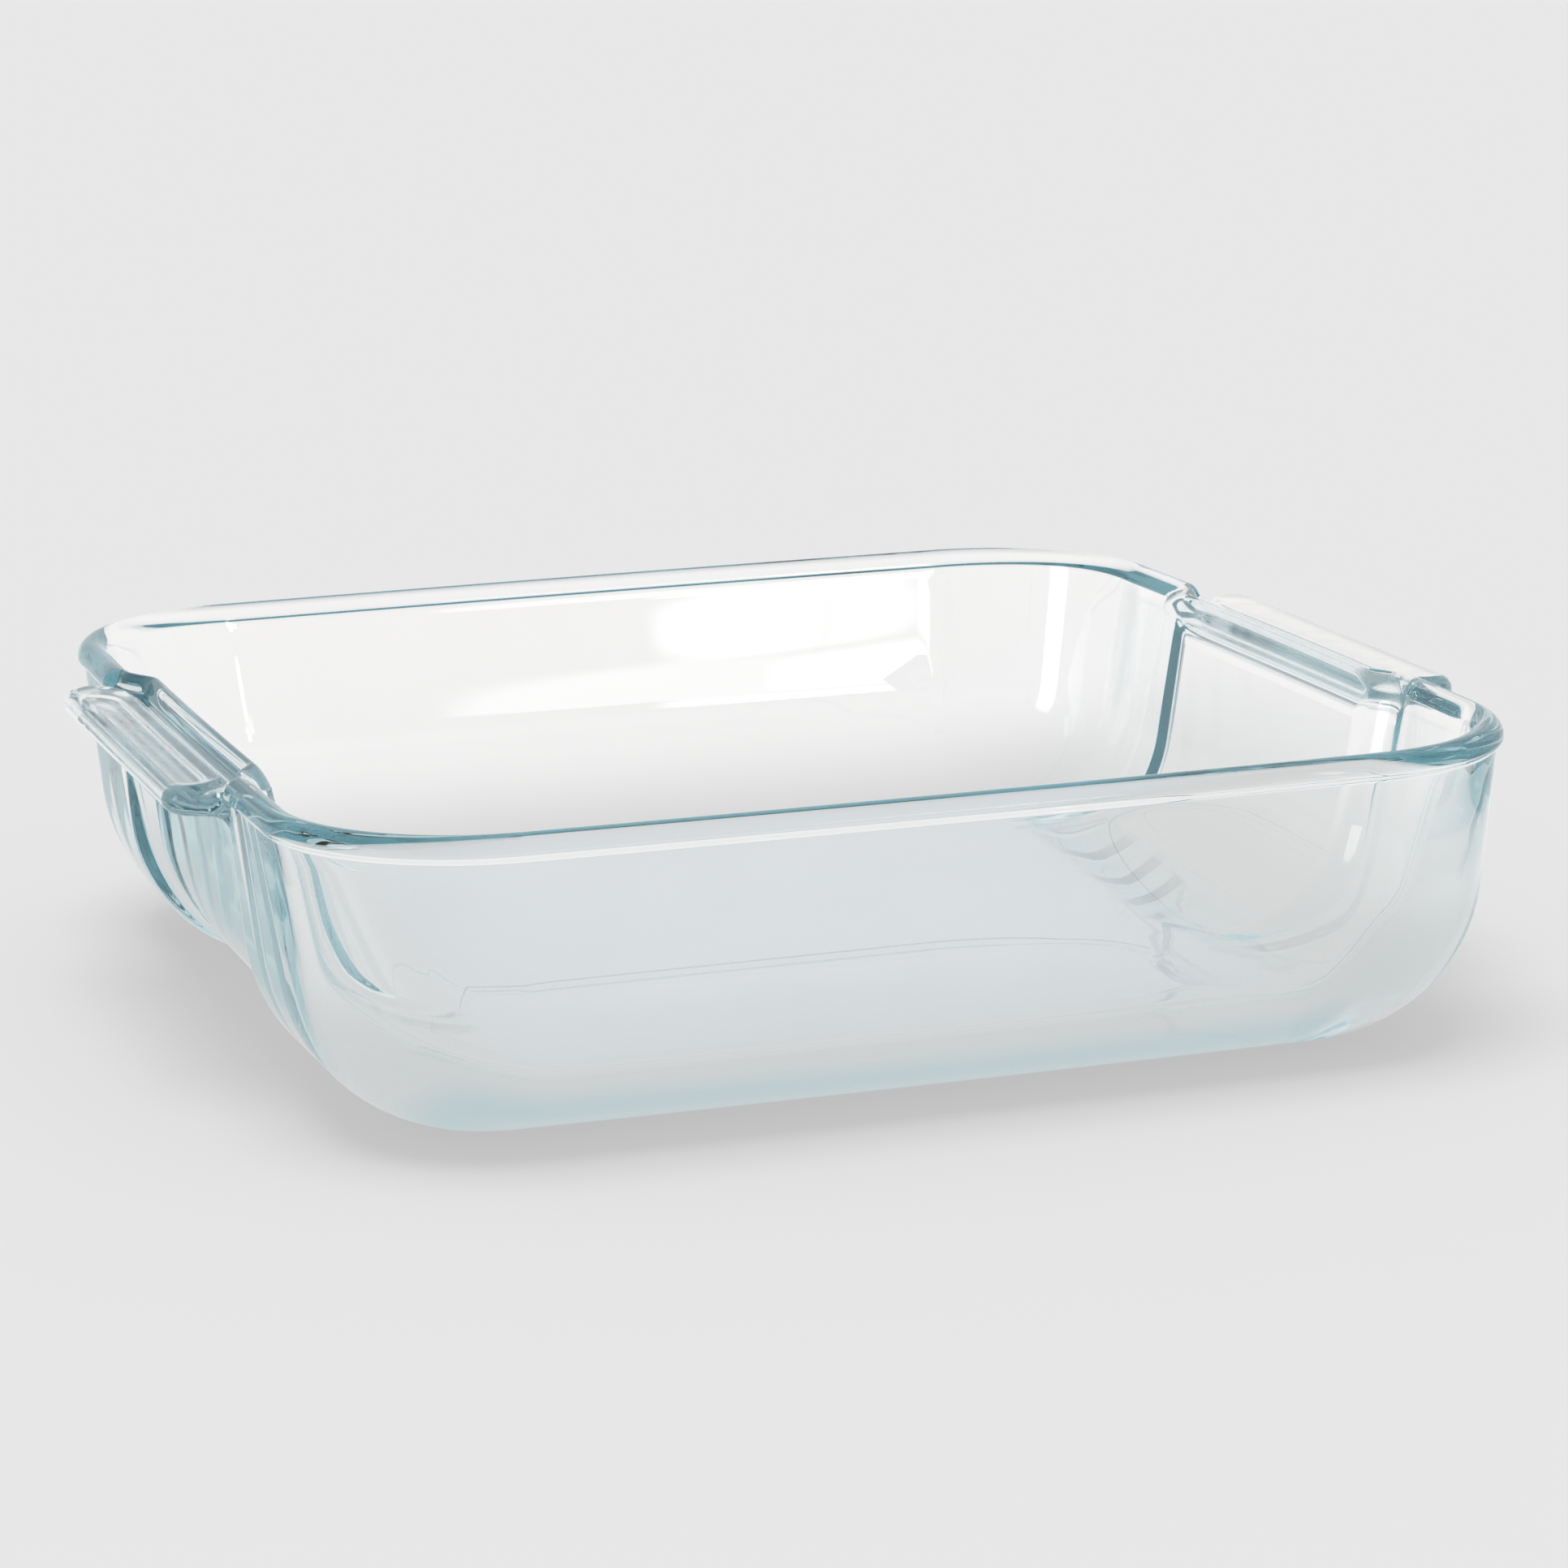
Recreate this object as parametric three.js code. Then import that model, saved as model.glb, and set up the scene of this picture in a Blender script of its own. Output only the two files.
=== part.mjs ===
// Square glass baking dish: one pressing of clear glass with a flat base, drafted walls and a rolled rim.
// On the left and right a panel of the wall is set in, and the rim jogs in with it behind a tab handle.
// Millimetres, +Z up, X through the handles, origin on the table under the middle of the base.

import * as THREE from 'three';

// Driving dimensions of the dish
const RIM_SPAN = 222; // over the rim from front to back, and from side to side at the corners
const RIM_HEIGHT = 57; // from the table to the crest of the rim
const CORNER_RADIUS = 36; // plan radius of the rim's outer edge at a corner
const CORNER_TIGHTENING = 0.9; // how much the corner radius drops for each millimetre of inset
const INSIDE_TIGHTENING = 0.6; // the same for the inside of the walls
const SIDE_BOW = 1.8; // how far the middle of a side stands out from its ends
const BASE_THICKNESS = 5.5;
const DRAFT = THREE.MathUtils.degToRad(5.5); // the outside of the walls leans out by this much
const INSIDE_DRAFT = THREE.MathUtils.degToRad(11.5); // the inside leans more: walls thicken downwards
const BOTTOM_RADIUS = 31; // outside, between a wall and the base
const INSIDE_RADIUS = 30; // inside, between a wall and the floor of the dish

// Driving dimensions of the rim
const RIM_WIDTH = 5.5;
const CROWN_HEIGHT = 2.3; // from the rim's widest line up to its crest
const LIP_RADIUS = 1.3; // round underside of the rim's outer lip
const LIP_FILLET = 1.1; // hollow between the lip and the wall
const LIP_OVERHANG = 1.2; // how far the lip stands out from the wall

// Driving dimensions of the panels that are set in behind the handles
const PANEL_SETBACK = 3.8; // how far a panel and its rim lie inside the rim at the corners
const PANEL_LENGTH = 77; // along the flat of a panel outside, between its two jogs
const INSIDE_PANEL_LENGTH = 92; // the same on the inside of the wall
const JOG_LENGTH = 9; // along the wall, for the whole of one jog

// Driving dimensions of the tab handles
const HANDLE_SPAN = 239; // over both handles
const HANDLE_ROOT_LENGTH = 102; // along the rim
const HANDLE_SLANT = THREE.MathUtils.degToRad(30); // how far the ends of a tab turn in
const HANDLE_CORNER = 6; // plan radius of a tab's outer corners
const HANDLE_BLEND = 3; // along a tab's outline, where it grows out of the rim
const EDGE_REACH = 2.5; // how far the round edge of a tab stands out
const CREST_WIDTH = 1.8; // from the inside of the rim to its crest beside a handle
const CHANNEL_PLACE = 2.4; // out from the crest
const CHANNEL_DEPTH = 2.9; // below the crest, along the channel between rim and tab
const RIDGE_PLACE = 5.6; // out from the crest
const RIDGE_DROP = 1.75; // below the crest, along the ridge round the plateau of a tab
const RIDGE_SLOPE = 1.4; // across the outer slope of the ridge
const PLATEAU_DROP = 1.9; // below the crest
const PLATEAU_BORDER = 2.6; // between the ridge and the end of a tab
const PLATEAU_CORNER = 5; // plan radius of the ridge's corners
const TAB_BOTTOM_DROP = 6.9; // from the crest down to the underside of a tab
const ROOT_FILLET = 3.5; // under a tab, between it and the wall

// Facets along one quarter of the plan and along the section of the wall
const SIDE_STEPS = 4;
const CORNER_STEPS = 8;
const SHOULDER_STEPS = 2;
const JOG_STEPS = 10;
const PANEL_STEPS = 6;
const FILLET_STEPS = 7;
const CROWN_STEPS = 3;
const TOP_STEPS = 14; // across the top of a handle
const LIP_STEPS = 4;

// Values that follow from the driving dimensions
const HALF_SPAN = RIM_SPAN / 2;
const SIDE_RADIUS = (HALF_SPAN ** 2 + SIDE_BOW ** 2) / (2 * SIDE_BOW);
const OUTER_JOG = PANEL_LENGTH / 2;
const INNER_JOG = INSIDE_PANEL_LENGTH / 2;
const PANEL_REACH = Math.max(OUTER_JOG, INNER_JOG) + JOG_LENGTH; // to the far end of the last jog
const WIDEST_HEIGHT = RIM_HEIGHT - CROWN_HEIGHT;
const LIP_TO_FILLET = LIP_RADIUS + LIP_FILLET; // between the centres of the two arcs under the rim
const LIP_TURN = Math.acos((LIP_RADIUS + LIP_FILLET * Math.cos(DRAFT) - LIP_OVERHANG) / LIP_TO_FILLET);
const FILLET_INSET = LIP_RADIUS - LIP_TO_FILLET * Math.cos(LIP_TURN);
const FILLET_HEIGHT = WIDEST_HEIGHT - LIP_TO_FILLET * Math.sin(LIP_TURN);
const WALL_TOP = FILLET_HEIGHT + LIP_FILLET * Math.sin(DRAFT);
const TAB_BOTTOM = RIM_HEIGHT - TAB_BOTTOM_DROP;

// The two faces of the wall, where the jogs of a panel start on them and how their corners tighten.
// The crown of the rim goes over from the inside, at a fraction of 0, to the outside, at 1.
function faceAt(fraction) {
  return {
    jog: THREE.MathUtils.lerp(INNER_JOG, OUTER_JOG, fraction),
    tightening: THREE.MathUtils.lerp(INSIDE_TIGHTENING, CORNER_TIGHTENING, fraction),
  };
}

const INSIDE = faceAt(0);
const OUTSIDE = faceAt(1);

// Insets of the two faces of the wall at a height, measured in from the rim's outer edge
function outerInset(height) {
  return LIP_OVERHANG + (WALL_TOP - height) * Math.tan(DRAFT);
}

function innerInset(height) {
  return RIM_WIDTH + (WIDEST_HEIGHT - height) * Math.tan(INSIDE_DRAFT);
}

// Evenly spaced fractions from 0 to 1; the first is left out where a stretch joins the one before it
function fractions(steps, first = 0) {
  return Array.from({ length: steps + 1 - first }, (_, i) => (i + first) / steps);
}

// The plan at an inset: four bowed sides, joined by corner arcs that are tangent to them
function planAt(inset, face) {
  const half = HALF_SPAN - inset;
  const corner = CORNER_RADIUS - face.tightening * inset;
  const beyond = SIDE_RADIUS - half;
  const centre = (Math.sqrt(2 * (SIDE_RADIUS - corner) ** 2 - beyond ** 2) - beyond) / 2;
  const turn = Math.atan2(centre, beyond + centre);
  return { half, corner, centre, turn, sideEnd: SIDE_RADIUS * Math.sin(turn) };
}

// How far a side lies from the middle of the dish, at a distance along it
function sideReach(plan, along) {
  return plan.half - SIDE_RADIUS + Math.sqrt(SIDE_RADIUS ** 2 - along ** 2);
}

// The right side, with the panel set in behind the handle
function rightSide(inset, face, y) {
  const setIn = 1 - THREE.MathUtils.smoothstep(Math.abs(y), face.jog, face.jog + JOG_LENGTH);
  return new THREE.Vector2(sideReach(planAt(inset, face), y) - PANEL_SETBACK * setIn, y);
}

// Stations round the front right quarter, from the middle of the front to the middle of the right side.
// Each one gives its plan point at an inset of a face, and the y where it crosses the panel, if it does.
function quarterStations() {
  const front = fractions(SIDE_STEPS).map((f) => ({
    point(inset, face) {
      const plan = planAt(inset, face);
      const along = f * plan.sideEnd;
      return new THREE.Vector2(along, -sideReach(plan, along));
    },
  }));
  const corner = fractions(CORNER_STEPS, 1).map((f) => ({
    point(inset, face) {
      const plan = planAt(inset, face);
      const angle = THREE.MathUtils.lerp(plan.turn, Math.PI / 2 - plan.turn, f);
      const outward = new THREE.Vector2(Math.sin(angle), -Math.cos(angle));
      return outward.multiplyScalar(plan.corner).add(new THREE.Vector2(plan.centre, -plan.centre));
    },
  }));
  const shoulder = fractions(SHOULDER_STEPS, 1).map((f) => ({
    point(inset, face) {
      return rightSide(inset, face, -THREE.MathUtils.lerp(planAt(inset, face).sideEnd, PANEL_REACH, f));
    },
  }));
  const jogs = fractions(JOG_STEPS, 1).map((f) => -THREE.MathUtils.lerp(PANEL_REACH, OUTER_JOG, f));
  const panel = fractions(PANEL_STEPS, 1).map((f) => -OUTER_JOG * (1 - f));
  const crossing = [...jogs, ...panel].map((y) => ({
    y,
    point: (inset, face) => rightSide(inset, face, y),
  }));
  return [...front, ...corner, ...shoulder, ...crossing];
}

// Half of a tab's outline in plan: out along its slanted end, round the corner and along the outer edge
const TAB_ROOT = rightSide(0, OUTSIDE, -HANDLE_ROOT_LENGTH / 2);
const END_ALONG = new THREE.Vector2(Math.cos(HANDLE_SLANT), Math.sin(HANDLE_SLANT));
const END_NORMAL = new THREE.Vector2(END_ALONG.y, -END_ALONG.x);

function tabOutline() {
  const centreX = HANDLE_SPAN / 2 - HANDLE_CORNER;
  const endLength = (centreX + HANDLE_CORNER * END_NORMAL.x - TAB_ROOT.x) / END_ALONG.x;
  const arcStart = TAB_ROOT.clone().addScaledVector(END_ALONG, endLength);
  const centreY = arcStart.y - HANDLE_CORNER * END_NORMAL.y;
  const outline = new THREE.Path();
  outline.moveTo(TAB_ROOT.x, TAB_ROOT.y);
  outline.lineTo(arcStart.x, arcStart.y);
  outline.absarc(centreX, centreY, HANDLE_CORNER, HANDLE_SLANT - Math.PI / 2, 0, false);
  outline.lineTo(HANDLE_SPAN / 2, 0);
  return outline;
}

const TAB_OUTLINE = tabOutline();

// Where the edge of the tab lies for a station on the panel, and how far the tab has grown out of the rim
function tabAt(station) {
  const fraction = station.y === undefined ? 0 : 1 - Math.abs(station.y) / (HANDLE_ROOT_LENGTH / 2);
  if (fraction <= 0) {
    return { grown: 0 };
  }
  const tangent = TAB_OUTLINE.getTangentAt(fraction);
  const outward = new THREE.Vector2(tangent.y, -tangent.x);
  const grown = THREE.MathUtils.smoothstep(fraction * TAB_OUTLINE.getLength(), 0, HANDLE_BLEND);
  const edge = TAB_OUTLINE.getPointAt(fraction);
  return { grown, outward, edge, neck: edge.clone().addScaledVector(outward, -EDGE_REACH) };
}

function at(plan, height) {
  return new THREE.Vector3(plan.x, plan.y, height);
}

// How far the top of a tab lies below the crest: a channel beside the crest, then a ridge round a plateau.
// The ridge runs along the crest and along the end of the tab, and turns between them in a round corner.
function tabDrop(plan) {
  const fromCrest = plan.x - rightSide(RIM_WIDTH - CREST_WIDTH, OUTSIDE, plan.y).x;
  const fromEnd = TAB_ROOT.clone().sub(plan).dot(END_NORMAL);
  const pastRidge = new THREE.Vector2(fromCrest - RIDGE_PLACE, fromEnd - PLATEAU_BORDER);
  const short = new THREE.Vector2(PLATEAU_CORNER, PLATEAU_CORNER).sub(pastRidge).max(new THREE.Vector2());
  const beyond = Math.max(Math.min(pastRidge.x, pastRidge.y) - PLATEAU_CORNER, 0);
  const inside = PLATEAU_CORNER - short.length() + beyond;
  const falling = THREE.MathUtils.smoothstep(inside, 0, 2 * RIDGE_SLOPE);
  const rising = THREE.MathUtils.smoothstep(inside, -RIDGE_SLOPE, 0);
  const plateau = THREE.MathUtils.lerp(RIDGE_DROP, PLATEAU_DROP, falling);
  const drop = THREE.MathUtils.lerp(CHANNEL_DEPTH, plateau, rising);
  return drop * THREE.MathUtils.smoothstep(fromCrest, 0, CHANNEL_PLACE);
}

// The round between a wall and a floor, from the floor up
function bottomArc(station, face, radius, floor, insetAt, draft) {
  const centre = insetAt(floor + radius * (1 - Math.sin(draft))) + radius * Math.cos(draft);
  return fractions(FILLET_STEPS).map((f) => {
    const turn = f * (Math.PI / 2 - draft);
    return at(station.point(centre - radius * Math.sin(turn), face), floor + radius * (1 - Math.cos(turn)));
  });
}

// The rim's section without a handle, from the crest over the outer lip to the top of the wall
function plainRim(station) {
  const crown = fractions(TOP_STEPS).map((f) => {
    const turn = (f * Math.PI) / 2;
    const plan = station.point((RIM_WIDTH / 2) * (1 - Math.sin(turn)), OUTSIDE);
    return at(plan, WIDEST_HEIGHT + CROWN_HEIGHT * Math.cos(turn));
  });
  const lip = fractions(LIP_STEPS, 1).map((f) => {
    const turn = f * LIP_TURN;
    const plan = station.point(LIP_RADIUS * (1 - Math.cos(turn)), OUTSIDE);
    return at(plan, WIDEST_HEIGHT - LIP_RADIUS * Math.sin(turn));
  });
  const fillet = fractions(LIP_STEPS, 1).map((f) => {
    const turn = THREE.MathUtils.lerp(LIP_TURN, DRAFT, f);
    const plan = station.point(FILLET_INSET + LIP_FILLET * Math.cos(turn), OUTSIDE);
    return at(plan, FILLET_HEIGHT + LIP_FILLET * Math.sin(turn));
  });
  return [...crown, ...lip, ...fillet];
}

// The section through a handle, with as many points: over its top, round its edge and back under it
function handleRim(station, tab) {
  const crest = station.point(RIM_WIDTH - CREST_WIDTH, OUTSIDE);
  const top = fractions(TOP_STEPS).map((f) => {
    const plan = crest.clone().lerp(tab.neck, f);
    return at(plan, RIM_HEIGHT - tabDrop(plan));
  });
  const middle = (top[TOP_STEPS].z + TAB_BOTTOM) / 2;
  const edge = fractions(LIP_STEPS, 1).map((f) => {
    const turn = Math.PI * f;
    const plan = tab.neck.clone().addScaledVector(tab.outward, EDGE_REACH * Math.sin(turn));
    return at(plan, middle + (middle - TAB_BOTTOM) * Math.cos(turn));
  });
  const foot = station.point(outerInset(TAB_BOTTOM - ROOT_FILLET), OUTSIDE);
  const reach = tab.neck.clone().sub(foot);
  const radius = Math.min(ROOT_FILLET, reach.length());
  const out = reach.normalize();
  const underside = fractions(LIP_STEPS, 1).map((f) => {
    const turn = (f * Math.PI) / 2;
    const plan = foot.clone().addScaledVector(out, radius * (1 - Math.sin(turn)));
    return at(plan, TAB_BOTTOM - ROOT_FILLET * (1 - Math.cos(turn)));
  });
  return [...top, ...edge, ...underside];
}

// The whole section at a station, from the floor of the dish over the rim to the underside of the base
function sectionAt(station) {
  const tab = tabAt(station);
  const crestWidth = THREE.MathUtils.lerp(RIM_WIDTH / 2, CREST_WIDTH, tab.grown);
  const inside = bottomArc(station, INSIDE, INSIDE_RADIUS, BASE_THICKNESS, innerInset, INSIDE_DRAFT);
  const innerCrown = fractions(CROWN_STEPS)
    .slice(0, -1)
    .map((f) => {
      const turn = (f * Math.PI) / 2;
      const inset = RIM_WIDTH - crestWidth * (1 - Math.cos(turn));
      const plan = station.point(inset, faceAt(Math.sin(turn)));
      return at(plan, WIDEST_HEIGHT + CROWN_HEIGHT * Math.sin(turn));
    });
  const rim = plainRim(station);
  if (tab.grown > 0) {
    handleRim(station, tab).forEach((point, i) => rim[i].lerp(point, tab.grown));
  }
  const outside = bottomArc(station, OUTSIDE, BOTTOM_RADIUS, 0, outerInset, DRAFT).reverse();
  return [...inside, ...innerCrown, ...rim, ...outside];
}

// All the sections round the dish: the quarter, and its mirror images in turn
function allSections() {
  const quarter = quarterStations().map(sectionAt);
  const mirrored = (sections, axis) =>
    sections.map((section) =>
      section.map((point) => point.clone().setComponent(axis, -point.getComponent(axis))),
    );
  const rightHalf = [...quarter, ...mirrored(quarter, 1).reverse().slice(1)];
  return [...rightHalf, ...mirrored(rightHalf, 0).reverse().slice(1, -1)];
}

// Skins the sections into one closed body, with a fan over the floor and a fan under the base
function glassBody() {
  const sections = allSections();
  const rows = sections[0].length;
  const positions = sections.flat().flatMap((point) => point.toArray());
  const floorMiddle = positions.length / 3;
  positions.push(0, 0, BASE_THICKNESS);
  const baseMiddle = floorMiddle + 1;
  positions.push(0, 0, 0);
  const triangles = [];
  sections.forEach((_, i) => {
    const here = i * rows;
    const next = ((i + 1) % sections.length) * rows;
    triangles.push(floorMiddle, here, next);
    for (let row = 0; row < rows - 1; row += 1) {
      triangles.push(here + row, here + row + 1, next + row + 1);
      triangles.push(here + row, next + row + 1, next + row);
    }
    triangles.push(baseMiddle, next + rows - 1, here + rows - 1);
  });
  const geometry = new THREE.BufferGeometry();
  geometry.setAttribute('position', new THREE.Float32BufferAttribute(positions, 3));
  geometry.setIndex(triangles);
  geometry.computeVertexNormals();
  return geometry;
}

const clearGlass = new THREE.MeshStandardMaterial({ color: 0xdfeaec, roughness: 0.04, metalness: 0 });

const glassDish = new THREE.Mesh(glassBody(), clearGlass);
glassDish.name = 'glass_dish';

const bakingDish = new THREE.Group();
bakingDish.name = 'square_glass_baking_dish';
bakingDish.add(glassDish);

export default bakingDish;
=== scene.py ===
# %% [markdown]
# # A square glass baking dish
# The dish is one pressing of clear glass, in which base, walls, rim and handles run into each other.
# This lesson works out its surface with numpy, gives it a glass that is clear in the walls and
# blue-green in the thick edges, and sets it on a pale table for its picture.

# %% Load the frame
import math

import bpy
import numpy as np
from mathutils import Matrix, Vector


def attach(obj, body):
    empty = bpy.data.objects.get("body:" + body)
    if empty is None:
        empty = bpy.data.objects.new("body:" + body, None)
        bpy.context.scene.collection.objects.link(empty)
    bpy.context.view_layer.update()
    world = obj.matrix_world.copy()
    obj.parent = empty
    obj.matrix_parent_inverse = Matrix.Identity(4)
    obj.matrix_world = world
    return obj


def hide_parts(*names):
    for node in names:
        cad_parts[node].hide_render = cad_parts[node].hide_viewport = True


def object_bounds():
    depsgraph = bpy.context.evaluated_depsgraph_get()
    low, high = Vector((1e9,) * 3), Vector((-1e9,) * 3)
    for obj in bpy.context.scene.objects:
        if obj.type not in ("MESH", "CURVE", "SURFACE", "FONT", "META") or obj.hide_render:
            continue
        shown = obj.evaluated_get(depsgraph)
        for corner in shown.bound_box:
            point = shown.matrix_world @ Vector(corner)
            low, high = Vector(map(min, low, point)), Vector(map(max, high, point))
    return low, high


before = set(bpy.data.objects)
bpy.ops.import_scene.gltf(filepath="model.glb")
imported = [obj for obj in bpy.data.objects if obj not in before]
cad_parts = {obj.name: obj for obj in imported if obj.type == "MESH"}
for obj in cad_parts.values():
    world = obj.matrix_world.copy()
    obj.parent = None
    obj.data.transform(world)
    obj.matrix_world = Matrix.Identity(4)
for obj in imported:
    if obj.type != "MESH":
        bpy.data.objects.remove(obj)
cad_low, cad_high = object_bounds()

print("frame nodes:", sorted(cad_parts))

# %% [markdown]
# ## Overall sizes
# The frame holds the plain solid of the dish. The three overall sizes are read from its box, so that
# the fine surface always fills the same box. The other sizes are the ones a mould maker would ask for,
# and each stands at the head of the step that needs it.

# %% Overall sizes
MM = 0.001
RIM_SPAN = cad_high.y - cad_low.y
RIM_HEIGHT = cad_high.z
HANDLE_SPAN = cad_high.x - cad_low.x
HALF_SPAN = RIM_SPAN / 2
print("frame box in mm:", [round(v / MM, 1) for v in (*cad_low, *cad_high)])
print(f"rim {RIM_SPAN / MM:.0f} mm, height {RIM_HEIGHT / MM:.0f} mm, handles {HANDLE_SPAN / MM:.0f} mm")

# %% [markdown]
# ## The plan
# Seen from above the dish is a square with slightly bowed sides and round corners, and the sides that
# carry the handles have a panel that is set in. A curve object could draw one such outline, but every
# height of the wall has its own. They are alike apart from how far in they lie, so one function of the
# inset gives them all. It works on a quarter of the dish, and the other three are mirror images.

# %% Sizes of the plan
CORNER_RADIUS = 36 * MM
CORNER_TIGHTENING = 0.9  # how much the corner radius drops for each unit of inset
INSIDE_TIGHTENING = 0.6  # the same for the inside of the walls
SIDE_BOW = 1.8 * MM
PANEL_SETBACK = 3.8 * MM
PANEL_LENGTH = 77 * MM
INSIDE_PANEL_LENGTH = 92 * MM
JOG_LENGTH = 9 * MM
PANEL_SHARE = 0.95  # of half a side, the most that the stations of a panel take up
SIDE_RADIUS = (HALF_SPAN**2 + SIDE_BOW**2) / (2 * SIDE_BOW)
OUTER_JOG = PANEL_LENGTH / 2
INNER_JOG = INSIDE_PANEL_LENGTH / 2
PANEL_REACH = INNER_JOG + JOG_LENGTH
print(f"sides bowed to a radius of {SIDE_RADIUS:.2f} m, panels with jogs {2 * PANEL_REACH / MM:.0f} mm long")

# %% Stations round a quarter
FRONT_STEPS, CORNER_STEPS, SHOULDER_STEPS, PANEL_STEPS = 34, 40, 14, 100
STATIONS = FRONT_STEPS + 1 + CORNER_STEPS + SHOULDER_STEPS + PANEL_STEPS


def steps(count, first=0):
    """Evenly spaced fractions from 0 to 1 as a column, leaving out the first ones."""
    return np.linspace(0, 1, count + 1)[first:, None]


def lerp(low, high, fraction):
    """The value at a fraction of the way from low to high."""
    return low + (high - low) * fraction


def smoothstep(value, low, high):
    """0 below low, 1 above high, and 3t^2 - 2t^3 between them."""
    t = np.clip((value - low) / (high - low), 0, 1)
    return t * t * (3 - 2 * t)


print("stations in a quarter:", STATIONS)


# %% The outline at an inset
def side_reach(half, along):
    """A bowed side: a circle of SIDE_RADIUS whose middle lies half away from the centre of the dish."""
    return half - SIDE_RADIUS + np.sqrt(SIDE_RADIUS**2 - along**2)


def set_in(y, jog):
    """How far a panel lies inside the side: PANEL_SETBACK up to the jog, easing to 0 over its length."""
    return PANEL_SETBACK * (1 - smoothstep(np.abs(y), jog, jog + JOG_LENGTH))


def ring(inset, height, jog=OUTER_JOG, tightening=CORNER_TIGHTENING):
    """Points of a quarter for insets and heights given per station and section point. Each side is an arc of
    SIDE_RADIUS, the corner an arc tangent to both sides, and the panel a side moved in by set_in."""
    inset, height, jog = np.broadcast_arrays(inset, height, jog, np.zeros((STATIONS, 1)))[:3]
    half = HALF_SPAN - inset
    corner = CORNER_RADIUS - tightening * inset
    beyond = SIDE_RADIUS - half
    centre = (np.sqrt(2 * (SIDE_RADIUS - corner) ** 2 - beyond**2) - beyond) / 2
    turn = np.arctan2(centre, beyond + centre)
    side_end = SIDE_RADIUS * np.sin(turn)
    front, bend, shoulder, panel = np.split(
        np.arange(STATIONS),
        np.cumsum([FRONT_STEPS + 1, CORNER_STEPS, SHOULDER_STEPS]),
    )
    x, y = np.empty_like(inset), np.empty_like(inset)
    x[front] = steps(FRONT_STEPS) * side_end[front]
    y[front] = -side_reach(half[front], x[front])
    angle = lerp(turn[bend], np.pi / 2 - turn[bend], steps(CORNER_STEPS, 1))
    x[bend] = centre[bend] + corner[bend] * np.sin(angle)
    y[bend] = -centre[bend] - corner[bend] * np.cos(angle)
    jog_end = np.minimum(PANEL_REACH, PANEL_SHARE * side_end)
    y[shoulder] = -lerp(side_end[shoulder], jog_end[shoulder], steps(SHOULDER_STEPS, 1))
    y[panel] = -jog_end[panel] * (1 - steps(PANEL_STEPS, 1))
    right = np.concatenate([shoulder, panel])
    x[right] = side_reach(half[right], y[right]) - set_in(y[right], jog[right])
    return np.stack([x, y, height], axis=-1)


rim_outline = ring(0.0, RIM_HEIGHT)
print("half the rim along X and Y in mm:", np.abs(rim_outline[..., :2] / MM).max(axis=(0, 1)).round(1))

# %% [markdown]
# ## The section of the wall
# Cut through a wall, the glass is an L: the floor, a round into the wall, the leaning wall and the
# rolled rim, and back down the outside. A Solidify modifier would make a wall of even thickness, but in
# pressed glass the two faces lean differently, so that mould and plunger come free, and the wall is
# thicker at its foot. So both faces are worked out, each stretch as a short formula for inset and
# height.

# %% Sizes of the section
BASE_THICKNESS = 5.5 * MM
DRAFT = math.radians(5.5)
BOTTOM_RADIUS = 31 * MM
INSIDE_DRAFT = math.radians(11.5)
INSIDE_RADIUS = 30 * MM
RIM_WIDTH = 5.5 * MM
CROWN_HEIGHT = 3.0 * MM
LIP_RADIUS = 1.0 * MM
LIP_FILLET = 1.1 * MM
LIP_OVERHANG = 1.2 * MM
WIDEST_HEIGHT = RIM_HEIGHT - CROWN_HEIGHT
LIP_TO_FILLET = LIP_RADIUS + LIP_FILLET
LIP_TURN = math.acos((LIP_RADIUS + LIP_FILLET * math.cos(DRAFT) - LIP_OVERHANG) / LIP_TO_FILLET)
FILLET_INSET = LIP_RADIUS - LIP_TO_FILLET * math.cos(LIP_TURN)
FILLET_HEIGHT = WIDEST_HEIGHT - LIP_TO_FILLET * math.sin(LIP_TURN)
WALL_TOP = FILLET_HEIGHT + LIP_FILLET * math.sin(DRAFT)
print(f"rim widest at {WIDEST_HEIGHT / MM:.1f} mm, wall up to {WALL_TOP / MM:.1f} mm")

# %% Stretches of the section
FLOOR_ROWS, ARC_ROWS, WALL_ROWS, CROWN_ROWS, TOP_ROWS, LIP_ROWS = 5, 18, 10, 8, 40, 8


def outer_inset(height):
    """The outside of the wall: a straight line at the DRAFT."""
    return LIP_OVERHANG + (WALL_TOP - height) * math.tan(DRAFT)


def inner_inset(height):
    """The inside of the wall: a straight line at INSIDE_DRAFT."""
    return RIM_WIDTH + (WIDEST_HEIGHT - height) * math.tan(INSIDE_DRAFT)


def bottom_round(wall, floor, radius, lean):
    """A round of a radius between a level floor and a wall at a lean from the upright, tangent to both."""
    turn = steps(ARC_ROWS).T * (math.pi / 2 - lean)
    centre = wall(floor + radius * (1 - math.sin(lean))) + radius * math.cos(lean)
    return centre - radius * np.sin(turn), floor + radius * (1 - np.cos(turn))


def inside_wall():
    """The inside from the floor to the rim: its round and the straight wall."""
    inset, height = bottom_round(inner_inset, BASE_THICKNESS, INSIDE_RADIUS, INSIDE_DRAFT)
    above = lerp(height[:, -1:], WIDEST_HEIGHT, steps(WALL_ROWS, 1).T[:, :-1])
    inset = np.concatenate([inset, inner_inset(above)], axis=1)
    height = np.concatenate([height, above], axis=1)
    return ring(inset, height, INNER_JOG, INSIDE_TIGHTENING)


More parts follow.
